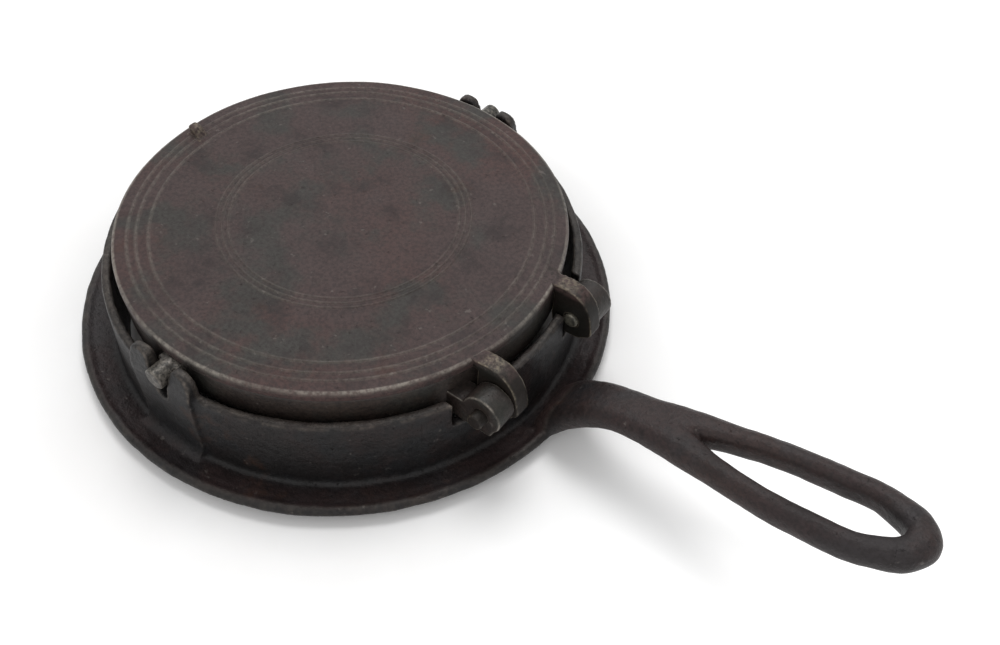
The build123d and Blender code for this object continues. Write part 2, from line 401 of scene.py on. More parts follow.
class Nodes:
    """Adds and links the nodes of one tree."""

    def __init__(self, tree: Tree) -> None:
        """Keep the tree."""
        self.tree = tree

    def new(self, kind: str) -> bpy.types.Node:
        """Add a shader node."""
        return self.tree.nodes.new("ShaderNode" + kind)

    def link(self, source: Socket, target: Socket) -> None:
        """Link two sockets."""
        self.tree.links.new(source, target)

    def feed(self, target: Socket, value: object) -> None:
        """Set a socket to a value or link it to another socket."""
        if isinstance(value, Socket):
            self.link(value, target)
        else:
            target.default_value = value

    def noise(self, where: Socket, scale: float, detail: float, rough: float) -> Socket:
        """Return the value of a noise texture."""
        node = self.new("TexNoise")
        self.link(where, node.inputs["Vector"])
        for name, value in (("Scale", scale), ("Detail", detail), ("Roughness", rough)):
            node.inputs[name].default_value = value
        return node.outputs["Fac"]

    def math(self, kind: str, first: object, second: object = 0.0, clamp: bool = False) -> Socket:
        """Return the result of a math node."""
        node = self.new("Math")
        node.operation = kind
        node.use_clamp = clamp
        self.feed(node.inputs[0], first)
        self.feed(node.inputs[1], second)
        return node.outputs[0]

    def times(self, first: object, second: object) -> Socket:
        """Return the product of two values."""
        return self.math("MULTIPLY", first, second)

    def ramp(self, value: object, low: object, high: object, top: object = 1.0) -> Socket:
        """Map a value from low and high to zero and top, smoothly."""
        node = self.new("MapRange")
        node.interpolation_type = "SMOOTHSTEP"
        for name, fed in (("Value", value), ("From Min", low), ("From Max", high), ("To Max", top)):
            self.feed(node.inputs[name], fed)
        return node.outputs["Result"]

    def band(self, value: object, low: float, high: float, top: object = 1.0) -> Socket:
        """Map a length from low and high, in millimetres, to zero and top."""
        return self.ramp(value, low * MM, high * MM, top)

    def mottle(self, where: Socket, mottle: Mottle, top: object = 1.0) -> Socket:
        """Return how strongly a mottle shows, from zero to top."""
        value = self.noise(where, mottle.scale, mottle.detail, mottle.rough)
        return self.ramp(value, mottle.low, mottle.high, top)

    def split(self, where: Socket) -> Outputs:
        """Return the X, Y and Z of a place."""
        node = self.new("SeparateXYZ")
        self.link(where, node.inputs[0])
        return node.outputs

    def radius(self, where: Socket) -> Socket:
        """Return the distance from the upright axis."""
        x, y, _ = self.split(where)
        return self.math("SQRT", self.math("ADD", self.times(x, x), self.times(y, y)))

    def mix(self, share: object, first: object, second: object) -> Socket:
        """Return a mix of two colours."""
        node = self.new("Mix")
        node.data_type = "RGBA"
        for name, fed in (("Factor", share), ("A", first), ("B", second)):
            self.feed(node.inputs[name], fed)
        return node.outputs["Result"]

    def group(self, tree: Tree, **values: object) -> Outputs:
        """Place a node group, feed its inputs and return its outputs."""
        node = self.new("Group")
        node.node_tree = tree
        for name, value in values.items():
            self.feed(node.inputs[name.capitalize()], value)
        return node.outputs


def new_group(
    name: str, takes: dict[str, str], gives: dict[str, str],
) -> tuple[Nodes, Outputs, bpy.types.NodeInputs]:
    """Make a shader node group that takes a place and other inputs.

    Args:
        name: The group's name.
        takes: Name and kind of each input after Place.
        gives: Name and kind of each output.

    Returns:
        Its nodes, the sockets that bring its inputs and the sockets that take its outputs.
    """
    tree = bpy.data.node_groups.new(name, "ShaderNodeTree")
    for way, sockets in (("INPUT", {"Place": VECTOR, **takes}), ("OUTPUT", gives)):
        for label, kind in sockets.items():
            tree.interface.new_socket(name=label, in_out=way, socket_type=kind)
    brought = tree.nodes.new("NodeGroupInput").outputs
    return Nodes(tree), brought, tree.nodes.new("NodeGroupOutput").inputs


def grain_group() -> Tree:
    """Build the group that gives the fine relief of sand-cast iron: lumps, sand and pits."""
    nodes, takes, gives = new_group("cast_grain", {}, {"Height": FLOAT, "Dips": FLOAT})
    pits = nodes.mottle(takes["Place"], PITS, PIT_SHARE)
    height = nodes.times(pits, -PIT_DEPTH)
    for scale, detail, rough, share in RELIEF_LAYERS:
        layer = nodes.times(nodes.noise(takes["Place"], scale, detail, rough), share)
        height = nodes.math("ADD", height, layer)
    nodes.link(height, gives["Height"])
    nodes.link(pits, gives["Dips"])
    return nodes.tree


def wear_group() -> Tree:
    """Build the group that finds worn edges, and creases darkened as soot and painted shade."""
    nodes, takes, gives = new_group("edge_wear", {"Edge": FLOAT}, {"Wear": FLOAT, "Soot and shade": FLOAT})
    shape = nodes.new("NewGeometry").outputs["Pointiness"]
    worn = nodes.ramp(shape, takes["Edge"], nodes.math("ADD", takes["Edge"], EDGE_SPAN))
    patchy = nodes.mottle(takes["Place"], WORN_PATCHES)
    nodes.link(nodes.times(worn, patchy), gives["Wear"])
    # Where the surface curves inward, in creases and corners, it is darkened: partly soot, partly painted
    # shade
    nodes.link(nodes.ramp(shape, SOOT_AND_SHADE_STARTS, SOOT_AND_SHADE_FULL), gives["Soot and shade"])
    return nodes.tree


def patina_group() -> Tree:
    """Build the group that mottles seasoned iron with warm, cool, dark and pale spots."""
    tints = {name: COLOR for name in ("Main", "Warm", "Cool", "Dark")}
    nodes, takes, gives = new_group("patina", {**tints, "Spots": FLOAT}, {"Color": COLOR})
    colour = takes["Main"]
    for mottle, top, tint in (
        (WARM_CLOUDS, 1.0, takes["Warm"]),
        (COOL_CLOUDS, 1.0, takes["Cool"]),
        (DARK_STAINS, 0.7, takes["Dark"]),
        (DARK_SAND, 0.6, takes["Dark"]),
        (PALE_SPOTS, takes["Spots"], SPOT_COLOUR),
    ):
        colour = nodes.mix(nodes.mottle(takes["Place"], mottle, top), colour, tint)
    nodes.link(colour, gives["Color"])
    return nodes.tree


@dataclass(frozen=True)
class WornCircle:
    """A ridge round the upright axis that use has brightened, in millimetres."""

    radius: float
    half: float
    above: float
    share: float


@dataclass(frozen=True)
class Patina:
    """The mottled colours of one iron: its main colour, with warm, cool and dark clouds."""

    main: Triple
    warm: Triple
    cool: Triple
    dark: Triple
    spots: float = 0.3

    def colour(self, nodes: Nodes, group: Tree, place: Socket) -> Socket:
        """Place the patina group with these colours and return its colour."""
        tints = {name: (*getattr(self, name), 1) for name in ("main", "warm", "cool", "dark")}
        return nodes.group(group, place=place, spots=self.spots, **tints)["Color"]


@dataclass(frozen=True)
class IronFinish:
    """One finish of old seasoned iron, with its lengths in millimetres."""

    name: str
    patina: Patina
    worn: Triple
    rough: float
    gloss: float
    relief: float
    wear: float
    wear_edge: float
    grip: Patina | None = None
    grip_start: float = 116.0
    grip_span: float = 22.0
    grip_flange: tuple[float, ...] = (104.5, 109.0, 115.5, 118.0)
    rust: Triple = (0.10, 0.040, 0.018)
    rough_spread: float = 0.2
    rusting: float = 0.2
    # Height in millimetres below which the iron is painted darker, as painted shade; zero for none
    painted_shade_below: float = 0.0
    rubbed: float = 0.0
    rubbed_above: float = 0.0
    wear_beyond: float = 0.0
    circles: tuple[WornCircle, ...] = ()

    def colours(self, nodes: Nodes, patina: Tree, place: Socket) -> Socket:
        """Return the mottled colour before wear, with a browner grip and flanks painted darker below a height
        as painted shade, if it has them.
        """
        colour = self.patina.colour(nodes, patina, place)
        x, _, z = nodes.split(place)
        if self.grip:
            handle = nodes.band(x, self.grip_start, self.grip_start + self.grip_span)
            starts, full, full_end, ends = self.grip_flange
            radius = nodes.radius(place)
            inner, outer = nodes.band(radius, starts, full), nodes.band(radius, ends, full_end)
            flange = nodes.times(inner, outer)
            browner = self.grip.colour(nodes, patina, place)
            colour = nodes.mix(nodes.math("MAXIMUM", handle, flange), colour, browner)
        # Below this height the colour turns towards the dark tint: painted shade on flanks under a lit crest
        if self.painted_shade_below:
            low = nodes.band(z, self.painted_shade_below, self.painted_shade_below - 2.5, 0.85)
            colour = nodes.mix(low, colour, (*self.patina.dark, 1))
        return colour

    def circle_wear(self, nodes: Nodes, place: Socket) -> Socket:
        """Return how bright the ridges round the upright axis are worn."""
        radius = nodes.radius(place)
        height = nodes.split(place)[2]
        worn = 0.0
        for ridge in self.circles:
            off = nodes.math("ABSOLUTE", nodes.math("SUBTRACT", radius, ridge.radius * MM))
            line = nodes.band(off, ridge.half, 0.2 * ridge.half, ridge.share)
            high = nodes.band(height, ridge.above - 0.3, ridge.above)
            worn = nodes.math("MAXIMUM", worn, nodes.times(line, high))
        for mottle, least in ((RIDGE_BROAD, 0.3), (RIDGE_FINE, 0.35)):
            uneven = nodes.math("ADD", least, nodes.mottle(place, mottle, 1 - least))
            worn = nodes.times(worn, uneven)
        return worn

    def bare(self, nodes: Nodes, edges: Socket, place: Socket) -> Socket:
        """Return how far the iron is worn bare at its edges, its ridges and where it is rubbed."""
        worn = nodes.times(edges, self.wear)
        if self.wear_beyond:
            outer = nodes.band(nodes.radius(place), self.wear_beyond, self.wear_beyond + 3)
            worn = nodes.times(worn, outer)
        if self.circles:
            worn = nodes.math("MAXIMUM", worn, self.circle_wear(nodes, place))
        if self.rubbed:
            high = nodes.band(nodes.split(place)[2], self.rubbed_above - 0.2, self.rubbed_above + 0.2)
            rubbed = nodes.times(nodes.mottle(place, RUBBED_IRON, self.rubbed), high)
            worn = nodes.math("MAXIMUM", worn, rubbed)
        return worn

    def material(self, groups: dict[str, Tree]) -> Material:
        """Build the material.

        Args:
            groups: The shared node groups by name.

        Returns:
            The material.
        """
        made = bpy.data.materials.new(self.name)
        made.use_nodes = True
        nodes = Nodes(made.node_tree)
        shader = made.node_tree.nodes["Principled BSDF"]
        shader.inputs["Specular IOR Level"].default_value = self.gloss
        place = nodes.new("TexCoord").outputs["Object"]
        grain = nodes.group(groups["grain"], place=place)
        edges = nodes.group(groups["wear"], place=place, edge=self.wear_edge)
        worn = self.bare(nodes, edges["Wear"], place)
        rusty = nodes.mottle(place, RUST_BLOOMS, self.rusting)
        dark = (*self.patina.dark, 1)
        colour = self.colours(nodes, groups["patina"], place)
        for share, tint in (
            (grain["Dips"], dark),
            # Creases take the dark tint: soot and painted shade
            (nodes.times(edges["Soot and shade"], 0.7), dark),
            (rusty, (*self.rust, 1)),
            (worn, (*self.worn, 1)),
        ):
            colour = nodes.mix(share, colour, tint)
        nodes.link(colour, shader.inputs["Base Color"])
        cloud = nodes.times(nodes.noise(place, 55, 4, 0.6), self.rough_spread)
        rough = nodes.math("ADD", self.rough - self.rough_spread / 2, cloud)
        rough = nodes.math("SUBTRACT", rough, nodes.times(worn, 0.15))
        rough = nodes.math("ADD", rough, nodes.times(rusty, 0.3), True)
        nodes.link(rough, shader.inputs["Roughness"])
        nodes.link(nodes.times(worn, 0.6), shader.inputs["Metallic"])
        bump = nodes.new("Bump")
        bump.inputs["Strength"].default_value = 1.0
        bump.inputs["Distance"].default_value = self.relief * MM
        nodes.link(grain["Height"], bump.inputs["Height"])
        nodes.link(bump.outputs["Normal"], shader.inputs["Normal"])
        return made


LID_RINGS = (89.3, 85.7, 80.7, 53.7, 51.2, 48.7)
LID_IRON = IronFinish(
    "lid_iron",
    Patina((0.064, 0.044, 0.042), (0.074, 0.040, 0.036), (0.046, 0.043, 0.039), (0.023, 0.017, 0.017)),
    worn=(0.34, 0.31, 0.27), rough=0.55, gloss=0.19, relief=0.8, wear=0.4, wear_edge=0.53, wear_beyond=60.0,
    circles=(
        *(WornCircle(ring, 1.2, 51.7, 0.22 if ring > 60 else 0.15) for ring in LID_RINGS),
        WornCircle(94.8, 1.0, 50.0, 0.6),
    ),
)
# The arms take a near-black dark tint, and their flanks below the crest are painted with it: painted shade on
# the arms' sides
ARM_IRON = replace(
    LID_IRON, name="arm_iron", worn=(0.27, 0.23, 0.17), relief=0.35, wear=0.85, wear_edge=0.508,
    patina=replace(LID_IRON.patina, dark=(0.006, 0.0055, 0.004)), painted_shade_below=51.0, rubbed=0.45,
    rubbed_above=52.2, wear_beyond=0.0, circles=(),
)
PAN_IRON = IronFinish(
    "pan_iron",
    Patina((0.036, 0.029, 0.026), (0.046, 0.033, 0.027), (0.035, 0.034, 0.030), (0.012, 0.010, 0.010)),
    worn=(0.30, 0.27, 0.23), rough=0.48, gloss=0.28, relief=0.6, wear=0.7, wear_edge=0.53, wear_beyond=60.0,
)
STUD_IRON = replace(PAN_IRON, name="stud_iron", wear_beyond=0.0)
# A darker copy of the pan iron: painted shade for the knuckles tucked under the arms. The trunnion iron is
# made from it and keeps this darker colour.
KNUCKLE_IRON = replace(
    STUD_IRON, name="knuckle_iron", wear=0.9, wear_edge=0.508,
    patina=Patina((0.022, 0.018, 0.016), (0.030, 0.020, 0.017), (0.022, 0.022, 0.018), (0.009, 0.008, 0.007)),
)
TRUNNION_IRON = replace(KNUCKLE_IRON, name="trunnion_iron", rubbed=0.5, rough=0.42, worn=(0.30, 0.27, 0.235))
BASE_IRON = IronFinish(
    "base_iron",
    Patina((0.0125, 0.0112, 0.0112), (0.020, 0.0135, 0.013), (0.015, 0.015, 0.016), (0.006, 0.0055, 0.0055)),
    grip=Patina(
        (0.031, 0.0205, 0.0205), (0.041, 0.0245, 0.0215), (0.027, 0.0225, 0.0235), (0.012, 0.009, 0.009),
    ),
    worn=(0.20, 0.17, 0.145), rough=0.45, gloss=0.21, relief=0.9, wear=0.65, wear_edge=0.51, rusting=0.25,
    circles=(WornCircle(116.9, 1.6, 7.4, 0.12), WornCircle(100.5, 1.8, 39.0, 0.3)),
)
PIN_IRON = IronFinish(
    "pin_iron",
    Patina((0.036, 0.031, 0.025), (0.045, 0.034, 0.024), (0.034, 0.034, 0.027), (0.012, 0.010, 0.009)),
    worn=(0.42, 0.39, 0.31), rough=0.4, gloss=0.35, relief=0.25, wear=1.0, wear_edge=0.508, rubbed=0.25,
)
FINISHES = (BASE_IRON, PAN_IRON, LID_IRON, ARM_IRON, STUD_IRON, KNUCKLE_IRON, TRUNNION_IRON, PIN_IRON)


# Sub-assemblies, with sizes in millimetres

@dataclass
class Hinge:
    """Where the hinge pins lie, shared by both plates."""

    x: float = 103.0
    z: float = 37.5
    pin_radius: float = 3.2
    pin_inner: float = 20.7
    pin_outer: float = 42.7
    arm_inner: float = 21.9
    arm_outer: float = 29.0
    knuckle_inner: float = 29.4
    knuckle_outer: float = 39.2
    peened: float = 1.4
    head_radius: float = 2.4
    bore_play: float = 0.25
    notch_play: float = 0.6
    skin: Layers = ((3.0, 0.12),)

    def bores(self) -> Mesh:
        """Return cutters for the pin holes of both sides."""
        hole = circle(self.x, self.z, self.pin_radius + self.bore_play, 40)
        return mirrored(slab(hole, self.pin_inner - 1, self.pin_outer + 1))

    def pins(self) -> list[Object]:
        """Make the two hinge pins."""
        made = []
        head_start = self.knuckle_outer + 0.4
        shank_rim = circle(self.x, self.z, self.pin_radius, 40)
        head_rim = circle(self.x, self.z, self.head_radius, 32)
        for side, name in ((-1, "left"), (1, "right")):
            shank = slab(shank_rim, self.pin_inner, head_start)
            head = slab(head_rim, head_start - 1, self.pin_outer - self.peened)
            pin = joined([softened(shank, 0.9, 4), softened(head, 1.0, 4)])
            bmesh.ops.scale(pin, vec=(1, side, 1), verts=pin.verts)
            bmesh.ops.recalc_face_normals(pin, faces=pin.faces)
            rod = piece(f"pin_{name}", pin)
            roughened(rod, self.skin)
            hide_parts(f"hinge_pin_{name}")
            made.append(rod)
        return made


@dataclass
class Studs:
    """The square studs that stand in each plate."""

    pitch: float = 13.5
    foot: float = 7.5
    height: float = 6.0
    taper: float = 8.0
    sunk: float = 0.5
    rounding: float = 0.7
    reach: float = 84.0
    reach_spare: float = 2.5

    def grid(self, floor: float, upward: bool) -> Mesh:
        """Return all studs of one plate.

        Args:
            floor: Height of the surface that they stand on.
            upward: Whether they point up.

        Returns:
            One mesh with all the studs.
        """
        stud = bmesh.new()
        bmesh.ops.create_cube(stud, size=1)
        top = self.foot - 2 * self.height * math.tan(math.radians(self.taper))
        for vert in stud.verts:
            width, height = (top, self.height) if vert.co.z > 0 else (self.foot, -self.sunk)
            vert.co = Vector((vert.co.x * width, vert.co.y * width, height if upward else -height))
        if not upward:
            bmesh.ops.reverse_faces(stud, faces=stud.faces)
        softened(stud, self.rounding, 2)
        count = int(self.reach / self.pitch) + 1
        steps = [(index + 0.5) * self.pitch for index in range(-count, count)]
        half = self.foot / 2
        places = [
            (x, y) for x in steps for y in steps
            if math.hypot(abs(x) + half, abs(y) + half) < self.reach + self.reach_spare
        ]
        copies = []
        for x, y in places:
            copy = stud.copy()
            bmesh.ops.translate(copy, verts=copy.verts, vec=(x, y, floor))
            copies.append(copy)
        stud.free()
        return joined(copies)


@dataclass
class Plate:
    """What both waffle plates share."""

    hinge: Hinge
    land_inner: float = 90.5
    pan_draft: float = 1.5
    sides: int = 360
    span: float = 2.5

    def round_piece(self, name: str, outline: Outline, skin: Layers) -> Object:
        """Spin an outline into the round body of a plate."""
        made = piece(name, spun(spaced(outline, self.span), self.sides))
        roughened(made, skin)
        return made


@dataclass
class Lid(Plate):
    """The upper plate: ringed disc, studs, hinge arms and lift lug."""

    radius: float = 95.6
    bottom: float = 47.3
    top: float = 51.8
    ceiling: float = 48.3
    rings: tuple[float, ...] = LID_RINGS
    ring_half: float = 0.8
    ring_relief: float = 0.42
    ring_steps: int = 4
    crest: float = 52.8
    arm_root: float = 86.5
    arm_back: float = 9.6
    root_wider: float = 1.2
    lug_middle: float = -2.5
    lug_half: float = 2.5
    lug_height: float = 4.2
    disc_skin: Layers = ((38, 0.22), (11, 0.08), (3.2, 0.035))
    arm_skin: Layers = ((9, 0.16), (3, 0.05))
    lug_skin: Layers = ((4, 0.15),)

    def top_line(self) -> Outline:
        """Return the top face from the middle outward, with its raised rings."""
        line: Outline = [(0, self.top)]
        for ring in sorted(self.rings):
            for step in range(-self.ring_steps, self.ring_steps + 1):
                share = step / self.ring_steps
                lift = self.ring_relief * (1 + math.cos(math.pi * share)) / 2
                line.append((ring + share * self.ring_half, self.top + lift))
        return line

    def disc(self) -> Object:
        """Make the disc with its rings and hollow underside."""
        rim = rounded([
            (self.land_inner, self.bottom, 0.3), (self.radius, self.bottom, 0.9),
            (self.radius, self.top, 1.9), (self.radius - 5, self.top, 0),
        ], 6)[:-1]
        under = [(0, self.ceiling), (self.land_inner - self.pan_draft, self.ceiling)]
        outline = under + rim + list(reversed(self.top_line()))
        made = self.round_piece("lid_disc", outline, self.disc_skin)
        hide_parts("upper_plate")
        return made

    def arms(self) -> Object:
        """Make the two hinge arms with their beaks."""
        x, z = self.hinge.x, self.hinge.z
        outline = rounded([
            (self.arm_root, self.top - 3.2, 0),
            (self.arm_root, self.top - 0.2, 0),
            (92.0, self.top, 0),
            (97.5, self.crest, 2.5),
            (105.0, self.crest - 0.9, 3.5),
            (111.0, 46.0, 4.5),
            (x + 10.3, z - 4.2, 2.4),
            (x + 4.0, z - 8.8, 2.4),
            (x - self.arm_back, z - 9.4, 7.6),
            (x - self.arm_back, self.bottom, 0.8),
        ], 5)
        top = self.top
        root = [(83.5, top - 1.4), (85.5, top - 0.1), (90.0, top + 0.1), (90.0, self.bottom + 0.5)]
        near, far = self.hinge.arm_inner, self.hinge.arm_outer
        arm = slab(outline, near, far)
        low_root = slab(root, near - self.root_wider, far + self.root_wider)
        made = piece("lid_arms", mirrored(joined([arm, low_root])))
        cut(made, self.hinge.bores())
        cast(made, grain=0.5, rounds=3)
        roughened(made, self.arm_skin)
        return made

    def lug(self) -> Object:
        """Make the lift lug."""
        low, high, crest = self.top - 1.2, self.top + 0.2, self.top + self.lug_height
        waist = self.top + 1.0
        outline = [(-82.5, low), (-84.6, waist), (-87.2, crest), (-91.8, crest), (-91.0, waist), (-91.0, low)]
        foot = [(-82, low), (-83.2, high), (-92, high), (-92, low)]
        near, far = self.lug_middle - self.lug_half, self.lug_middle + self.lug_half
        nub = softened(slab(outline, near, far), 1.5, 4)
        made = piece("lid_lug", joined([nub, slab(foot, near - 1, far + 1)]))
        cast(made, grain=0.35, rounds=6)
        roughened(made, self.lug_skin)
        return made


@dataclass
class Pan(Plate):
    """The lower plate: pan, studs, hinge knuckles and trunnions."""

    radius: float = 95.0
    seam: float = 47.0
    bottom: float = 31.0
    floor: float = 34.5
    knuckle_radius: float = 8.6
    trunnion_height: float = 43.5
    trunnion_radius: float = 4.5
    trunnion_end: float = 105.7
    collar_radius: float = 6.0
    neck_root: float = 84.0
    bowl_skin: Layers = ((38, 0.2), (11, 0.09), (3.2, 0.035))
    knuckle_skin: Layers = ((8, 0.16), (3, 0.06))
    trunnion_skin: Layers = ((5, 0.14),)

    def bowl(self) -> Object:
        """Make the pan itself."""
        outline = rounded([
            (0, self.bottom, 0), (self.radius, self.bottom, 2.8), (self.radius, self.seam, 1.0),
            (self.land_inner, self.seam, 0.3), (self.land_inner - self.pan_draft, self.floor, 0.8),
            (0, self.floor, 0),
        ], 6)
        made = self.round_piece("pan_bowl", outline, self.bowl_skin)
        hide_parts("lower_plate")
        return made

    def knuckles(self) -> Object:
        """Make the two hinge knuckles with their necks and flat feet."""
        x, z = self.hinge.x, self.hinge.z
        foot = z - 10.1
        neck = rounded([
            (self.neck_root, z + 1.5, 0),
            (x, z + 1.5, 0),
            (x + self.knuckle_radius, z, 0),
            (x + 4.5, foot, 1.0),
            (90.5, foot, 1.0),
            (self.neck_root, self.bottom + 1.0, 0),
        ])
        near, far = self.hinge.knuckle_inner, self.hinge.knuckle_outer
        barrel = slab(circle(x, z, self.knuckle_radius, 48), near, far)
        made = piece("pan_knuckles", mirrored(joined([slab(neck, near, far), barrel])))
        cast(made, grain=0.5, rounds=2)
        cut(made, self.hinge.bores())
        roughened(made, self.knuckle_skin)
        return made

    def trunnions(self) -> Object:
        """Make the trunnions with their collars."""
        journal = slab(circle(0, self.trunnion_height, self.trunnion_radius, 40), 93.5, self.trunnion_end)
        collar = slab(circle(0, self.trunnion_height, self.collar_radius, 40), 92.0, 98.0)
        sliced(collar, (0, 0, self.seam - 0.2), UP, clear=True)
        bmesh.ops.holes_fill(collar, edges=collar.edges, sides=0)
        made = piece("pan_trunnions", mirrored(joined([journal, collar])))
        cast(made, grain=0.45, rounds=3)
        roughened(made, self.trunnion_skin)
        return made


@dataclass
class Base:
    """The ring base: wall, dished flange, stove lip, forks and loop handle in one casting."""

    hinge: Hinge
    wall_inner: float = 98.5
    wall_outer: float = 102.6
    wall_height: float = 39.5
    draft: float = 1.3
    bead_middle: float = 116.7
    bead_height: float = 6.0
    bead_radius: float = 2.3
    flange_top: float = 4.4
    lip_radius: float = 106.0
    lip_depth: float = 2.5
    fork_face: float = 104.2
    fork_half: float = 16.2
    fork_height: float = 51.0
    prong_lean: float = 2.2
    slot_axis: float = 43.5
    slot_radius: float = 4.8
    slot_root: float = 2.3
    slot_lean: float = 14.0
    hinge_notch: float = 24.8
    hinge_notch_step: float = 27.0
    turned_notch: float = 33.8
    clear_above: float = 60.0
    handle_thickness: float = 11.6
    handle_root: float = -4.7
    handle_tip: float = 144.0
    hole_near: float = 57.0
    hole_far: float = 132.2
    sides: int = 288
    skin: Layers = ((30, 0.3), (9, 0.2), (3.5, 0.11))

    def ring(self) -> Mesh:
        """Return the wall, flange and lip, without the bead."""
        outline = rounded([
            (self.wall_inner + self.draft, 0, 0.5), (self.lip_radius, 0, 0.6),
            (self.lip_radius, self.lip_depth, 0.3), (self.lip_radius + 4, self.lip_depth, 0.5),
            (self.bead_middle, self.bead_height - 1.6, 0), (self.bead_middle, self.bead_height + 1.6, 0),
            (self.wall_outer + self.draft, self.flange_top, 3.2),
            (self.wall_outer, self.wall_height, 1.3), (self.wall_inner, self.wall_height, 1.3),
        ])
        return spun(outline, self.sides)

    def slot_mouth(self) -> float:
        """Return the half width of the fork's slot at its mouth."""
        lean = math.radians(self.slot_lean)
        return self.slot_radius / math.cos(lean) + (self.fork_height - self.slot_axis) * math.tan(lean)

    def slot_root_arc(self, steps: int = 8) -> Outline:
        """Return the round root of the slot from left to right."""
        lean = math.radians(self.slot_lean)
        root_height = self.slot_axis - (self.slot_radius - self.slot_root) / math.sin(lean)
        arc: Outline = []
        for step in range(steps + 1):
            turn = math.pi + lean + (math.pi - 2 * lean) * step / steps
            arc.append((self.slot_root * math.cos(turn), root_height + self.slot_root * math.sin(turn)))
        return arc

    def slot_cutter(self) -> Mesh:
        """Return the slot of both forks as a cutter."""
        mouth, top = self.slot_mouth(), self.fork_height
        outline = [(-mouth, top)] + self.slot_root_arc() + [(mouth, top)]
        return mirrored(slab(outline, 80, 130))

    def forks(self) -> Mesh:
        """Return both forks."""
        mouth, top, half = self.slot_mouth(), self.fork_height, self.fork_half
        left = rounded([(-half, 3.4, 0), (-half, top, 6.2), (-mouth, top, 3.2), (0, 20, 0)])[:-1]
        right = [(-x, z) for x, z in reversed(left)]
        fork = slab(left + self.slot_root_arc() + right, self.wall_inner - 0.6, self.fork_face)
        sliced(fork, (0, 0, self.wall_height), UP)
        for vert in fork.verts:
            over = vert.co.z - self.wall_height
            if over > 0 and vert.co.y > self.wall_outer:
                vert.co.y -= self.prong_lean * over / (self.fork_height - self.wall_height)
        return mirrored(joined([fork, self.fork_foot()]))

    def fork_foot(self) -> Mesh:
        """Return the round root that blends one fork into the flange."""
        profile = [
            (101.5, 3.4), (101.5, 14.0), (104.1, 12.5), (104.6, 9.4),
            (105.6, 7.4), (107.2, 6.2), (109.2, 5.6), (110.5, 3.4),
        ]
        return turned(slab(profile, -self.fork_half + 0.3, self.fork_half - 0.3), QUARTER)

    def notches(self) -> Mesh:
        """Return cutters for the notches that take the arms and knuckles."""
        hinge, play, high = self.hinge, self.hinge.notch_play, self.clear_above
        step, low, mid = hinge.arm_outer + 0.3, self.hinge_notch, self.hinge_notch_step
        near, far = hinge.pin_inner - play, hinge.pin_outer + play
        at_hinge = [(near, low), (step, low), (step, mid), (far, mid), (far, high), (near, high)]
        near, far, low = hinge.arm_inner - play, hinge.arm_outer + play, self.turned_notch
        opposite = [(near, low), (far, low), (far, high), (near, high)]
        both = joined([slab(at_hinge, -110, -87), slab(opposite, 87, 110)])
        return mirrored(turned(both, QUARTER))

    def arch(self) -> Outline:
        """Return the handle's middle line as X and Z."""
        rise = (
            (self.handle_root, 4.8), (8.3, 21.4), (18.3, 28.9), (43.3, 36.4), (73.3, 41.4), (103.3, 46.1),
            (153.3, 56.5),
        )
        points = [(self.bead_middle + x, z) for x, z in rise]
        return smooth_line(points, (0.6, 0.8), (1, 0.2), 12)

    def handle_plan(self) -> tuple[Outline, Outline]:
        """Return the handle's outer outline and its loop hole, seen from above."""
        bar = (
            (self.handle_root, 12.8), (28.3, 9.5), (58.3, 12.7), (101.3, 17.0), (126.3, 15.6), (138.3, 10.6),
            (self.handle_tip, 0),
        )
        flank = smooth_line([(self.bead_middle + x, half) for x, half in bar], (1, 0), (0, -1), 10)
        loop = ((self.hole_near, 0), (73.3, 4.8), (88.3, 7.2), (103.3, 7.8), (124.3, 5.9), (self.hole_far, 0))
        hole = smooth_line([(self.bead_middle + x, half) for x, half in loop], (1, 0.45), (0, -1), 8)
        outer = flank + [(x, -y) for x, y in reversed(flank[:-1])]
        inner = hole + [(x, -y) for x, y in reversed(hole[1:-1])]
        return outer, inner

    def handle(self) -> Mesh:
        """Return the loop handle."""
        mesh = bmesh.new()
        edges = []
        for outline in self.handle_plan():
            edges += looped(mesh, [(x, y, 0) for x, y in outline])[1]
        bmesh.ops.triangle_fill(mesh, edges=edges, use_beauty=True, use_dissolve=False)
        thickened(mesh, (0, 0, self.handle_thickness))
        self.round_bar(mesh)
        spacing = 3.0
        root, tip = self.bead_middle + self.handle_root, self.bead_middle + self.handle_tip
        for step in range(1, int((tip - root) / spacing)):
            sliced(mesh, (root + step * spacing, 0, 0), (1, 0, 0))
        self.bend(mesh)
        return mesh

    def round_bar(self, mesh: Mesh) -> None:
        """Round the long edges of the flat handle, more on the outside than in the loop."""
        near, far = self.bead_middle + 50.0, self.bead_middle + 135.0
        hole_half, steep, level = 9.2, 1.3, 1e-3
        for outside, width in ((True, 5.2), (False, 4.2)):
            rims = []
            for edge in mesh.edges:
                middle = (edge.verts[0].co + edge.verts[1].co) / 2
                flat = abs(edge.verts[0].co.z - edge.verts[1].co.z) < level
                sharp = len(edge.link_faces) == 2 and edge.calc_face_angle(0) > steep
                in_hole = near < middle.x < far and abs(middle.y) < hole_half
                if flat and sharp and in_hole != outside:
                    rims.append(edge)
            bevelled(mesh, rims, width, 5, False)

    def bend(self, mesh: Mesh) -> None:
        """Bend the flat handle along its arch."""
        arch = self.arch()
        along = [x for x, _ in arch]
        for vert in mesh.verts:
            index = min(max(bisect.bisect(along, vert.co.x), 1), len(arch) - 1)
            (x0, z0), (x1, z1) = arch[index - 1], arch[index]
            share = (vert.co.x - x0) / (x1 - x0)
            slope = math.atan2(z1 - z0, x1 - x0)
            off = vert.co.z - self.handle_thickness / 2
            height = z0 + (z1 - z0) * share
            vert.co.x -= off * math.sin(slope)
            vert.co.z = height + off * math.cos(slope)

